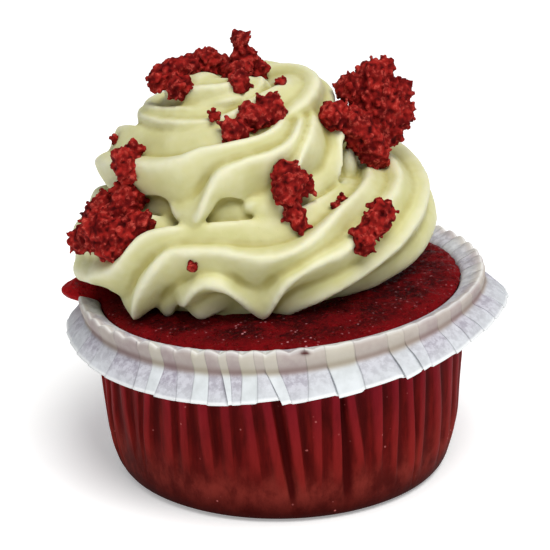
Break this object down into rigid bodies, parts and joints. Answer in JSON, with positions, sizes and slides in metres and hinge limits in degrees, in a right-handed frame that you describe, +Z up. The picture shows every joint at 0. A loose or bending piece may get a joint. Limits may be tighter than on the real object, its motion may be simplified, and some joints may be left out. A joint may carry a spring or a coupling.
{
  "type": "cupcake",
  "caption": "Red velvet cupcake in a fluted paper case with a turned-out frill, topped with a piped swirl of cream and clumps of cake crumb.",
  "frame": {"origin": "centre of the flat foot of the paper case, where it stands", "axes": "+Z up, -Y towards the front that the camera faces, +X to the right"},
  "size_m": [0.0873, 0.0863, 0.0826],
  "materials": {
    "paper_wall": "greaseproof paper soaked dark red, with a faint waxy sheen",
    "paper_frill": "thin matt paper",
    "cake": "moist crumb with wet glints",
    "cream": "soft satin whipped cream",
    "crumb": "dry open crumb"
  },
  "bodies": {
    "root": {"paper_case": "paper_wall", "cake": "cake", "cream": "cream", "crumb_top_left": "crumb", "crumb_top_middle": "crumb", "crumb_top_tall": "crumb", "crumb_right_large": "crumb", "crumb_centre_high": "crumb", "crumb_centre_low": "crumb", "crumb_right_low": "crumb", "crumb_left_small": "crumb", "crumb_left_large": "crumb"}
  },
  "joints": []
}
